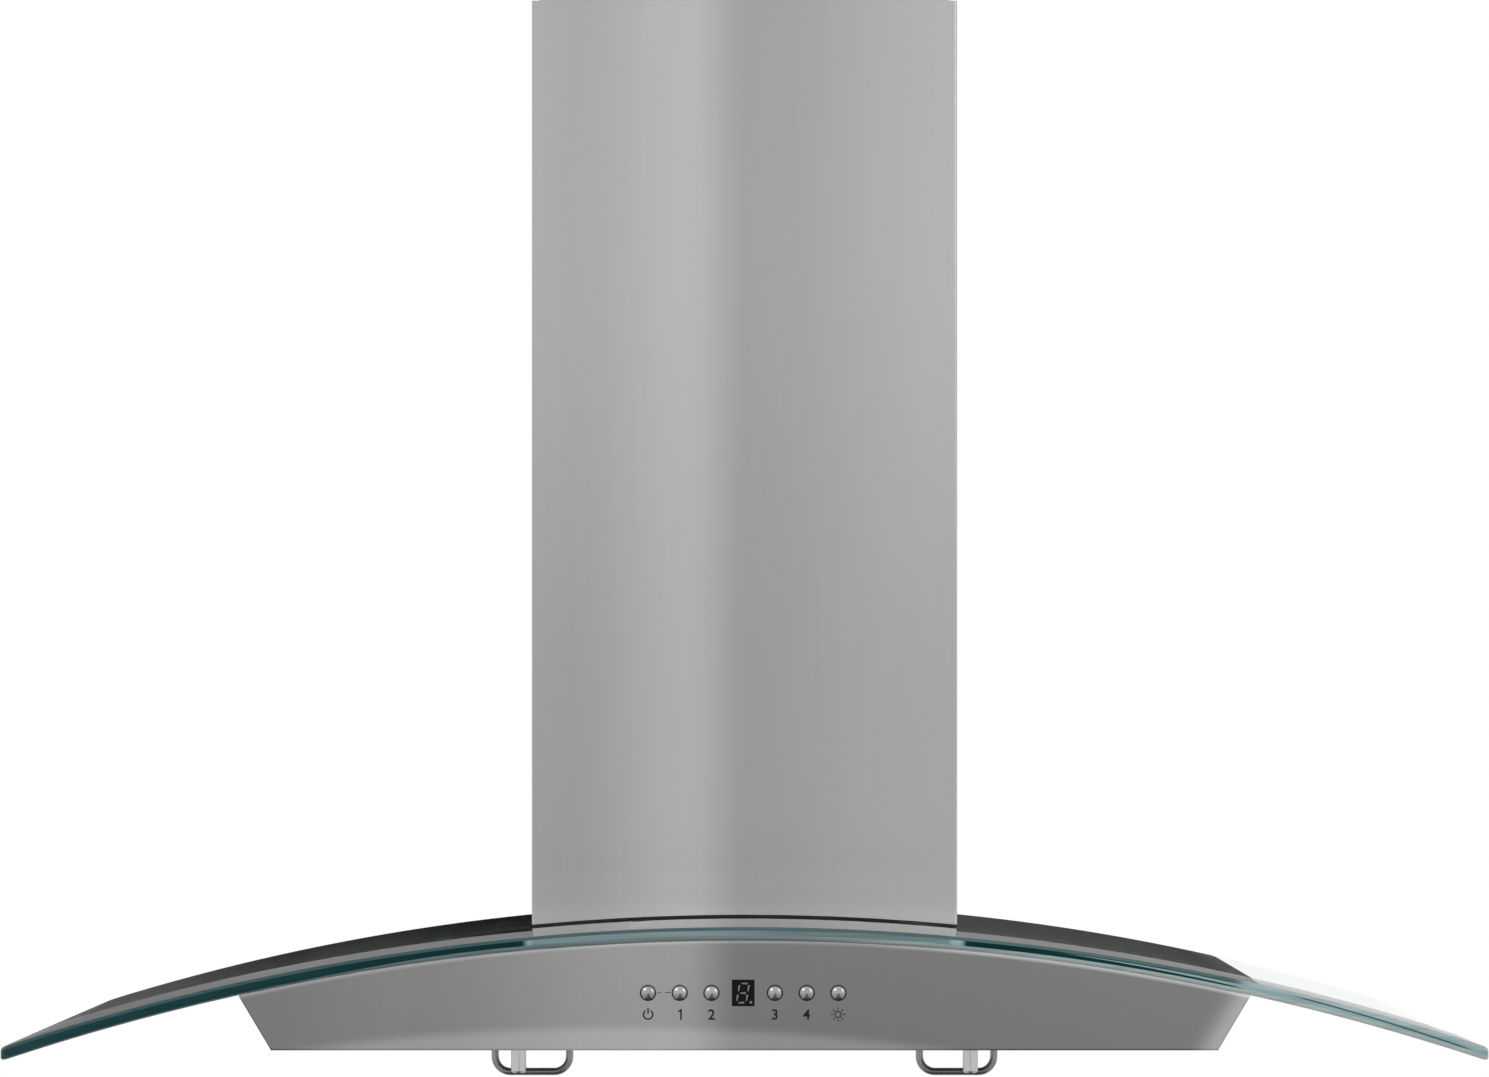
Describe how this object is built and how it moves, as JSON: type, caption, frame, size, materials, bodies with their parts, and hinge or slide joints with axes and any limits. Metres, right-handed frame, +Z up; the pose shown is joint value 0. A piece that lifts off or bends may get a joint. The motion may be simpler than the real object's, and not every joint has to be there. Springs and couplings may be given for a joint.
{
  "type": "range hood",
  "caption": "Wall-mounted chimney range hood with an arched glass canopy, push buttons, baffle filters, a squirrel-cage blower and a telescoping stainless cover.",
  "frame": {"origin": "centre of the four wall bolts, on the wall plane", "axes": "+X to the viewer's right along the wall, +Y into the wall, +Z up"},
  "size_m": [0.9182, 0.5, 0.795],
  "materials": {
    "stainless": "vertical or lengthwise brushed stainless steel",
    "polished": "polished",
    "galvanised": "galvanised sheet, dull",
    "clear_glass": "clear toughened glass with a ground edge",
    "window_glass": "smoked, glossy",
    "lens": "frosted",
    "black_rubber": "matte",
    "black_plastic": "moulded, matte",
    "circuit_board": "lacquered board",
    "dark_paint": "satin",
    "fan_paint": "powder coat",
    "zinc_screw": "zinc plated",
    "trim_white": "satin"
  },
  "bodies": {
    "hood": {"canopy_body": "stainless", "front_panel": "stainless", "glass_canopy": "clear_glass", "glass_seal": "black_rubber", "glass_grommets": "black_rubber", "glass_screws": "zinc_screw", "control_housing": "black_plastic", "control_board": "circuit_board", "push_switches": "black_plastic", "display_window": "window_glass", "display_module": "black_plastic", "filter_tray": "stainless", "lamp_housings": "trim_white", "lamp_lenses": "lens", "lamp_boards": "circuit_board", "lower_chimney": "stainless", "chimney_seal": "black_rubber", "chimney_screws": "zinc_screw", "wall_plate": "galvanised", "blower_box": "galvanised", "box_screws": "zinc_screw", "blower_scroll": "fan_paint", "inlet_ring": "galvanised", "motor": "dark_paint", "outlet_transition": "galvanised", "duct_collar": "galvanised", "damper_rod": "polished", "junction_box": "galvanised", "junction_cover": "galvanised", "cable_gland": "black_plastic", "capacitor": "trim_white"},
    "upper_cover": {"upper_chimney": "stainless", "ceiling_bracket": "galvanised", "bracket_screws": "zinc_screw"},
    "filter_left": {"filter_frame_left": "stainless", "filter_baffles_left": "stainless", "filter_handle_left": "polished", "latch_spring_left": "zinc_screw"},
    "filter_right": {"filter_frame_right": "stainless", "filter_baffles_right": "stainless", "filter_handle_right": "polished", "latch_spring_right": "zinc_screw"},
    "latch_left": {"filter_latch_left": "polished"},
    "latch_right": {"filter_latch_right": "polished"},
    "rotor": {"impeller": "fan_paint", "motor_shaft": "polished"},
    "damper_front": {"damper_flap_front": "galvanised"},
    "damper_rear": {"damper_flap_rear": "galvanised"},
    "key_power": {"button_power": "polished"},
    "key_speed_1": {"button_speed_1": "polished"},
    "key_speed_2": {"button_speed_2": "polished"},
    "key_speed_3": {"button_speed_3": "polished"},
    "key_speed_4": {"button_speed_4": "polished"},
    "key_light": {"button_light": "polished"}
  },
  "joints": [
    {"name": "upper_cover_slide", "type": "slide", "parent": "hood", "child": "upper_cover", "axis": [0, 0, 1], "range_m": [0, 0.3]},
    {"name": "filter_left_swing", "type": "hinge", "parent": "hood", "child": "filter_left", "pos_m": [-0.1405, -0.0751, -0.1708], "axis": [1, 0, 0], "range_deg": [0, 60]},
    {"name": "filter_right_swing", "type": "hinge", "parent": "hood", "child": "filter_right", "pos_m": [0.1405, -0.0751, -0.1708], "axis": [1, 0, 0], "range_deg": [0, 60]},
    {"name": "latch_left_slide", "type": "slide", "parent": "filter_left", "child": "latch_left", "axis": [0, 1, 0], "range_m": [0, 0.006], "stiffness_N_per_m": 300, "springref_m": -0.01, "deforming": ["latch_spring_left"]},
    {"name": "latch_right_slide", "type": "slide", "parent": "filter_right", "child": "latch_right", "axis": [0, 1, 0], "range_m": [0, 0.006], "stiffness_N_per_m": 300, "springref_m": -0.01, "deforming": ["latch_spring_right"]},
    {"name": "impeller_spin", "type": "hinge", "parent": "hood", "child": "rotor", "pos_m": [0, -0.11, 0.011], "axis": [1, 0, 0], "continuous": true},
    {"name": "damper_front_swing", "type": "hinge", "parent": "hood", "child": "damper_front", "pos_m": [0, -0.15, 0.177], "axis": [-1, 0, 0], "range_deg": [0, 75]},
    {"name": "damper_rear_swing", "type": "hinge", "parent": "hood", "child": "damper_rear", "pos_m": [0, -0.15, 0.177], "axis": [1, 0, 0], "range_deg": [0, 75]},
    {"name": "button_power_press", "type": "slide", "parent": "hood", "child": "key_power", "axis": [0, 1, 0], "range_m": [0, 0.001], "stiffness_N_per_m": 800, "springref_m": -0.001},
    {"name": "button_speed_1_press", "type": "slide", "parent": "hood", "child": "key_speed_1", "axis": [0, 1, 0], "range_m": [0, 0.001], "stiffness_N_per_m": 800, "springref_m": -0.001},
    {"name": "button_speed_2_press", "type": "slide", "parent": "hood", "child": "key_speed_2", "axis": [0, 1, 0], "range_m": [0, 0.001], "stiffness_N_per_m": 800, "springref_m": -0.001},
    {"name": "button_speed_3_press", "type": "slide", "parent": "hood", "child": "key_speed_3", "axis": [0, 1, 0], "range_m": [0, 0.001], "stiffness_N_per_m": 800, "springref_m": -0.001},
    {"name": "button_speed_4_press", "type": "slide", "parent": "hood", "child": "key_speed_4", "axis": [0, 1, 0], "range_m": [0, 0.001], "stiffness_N_per_m": 800, "springref_m": -0.001},
    {"name": "button_light_press", "type": "slide", "parent": "hood", "child": "key_light", "axis": [0, 1, 0], "range_m": [0, 0.001], "stiffness_N_per_m": 800, "springref_m": -0.001}
  ]
}
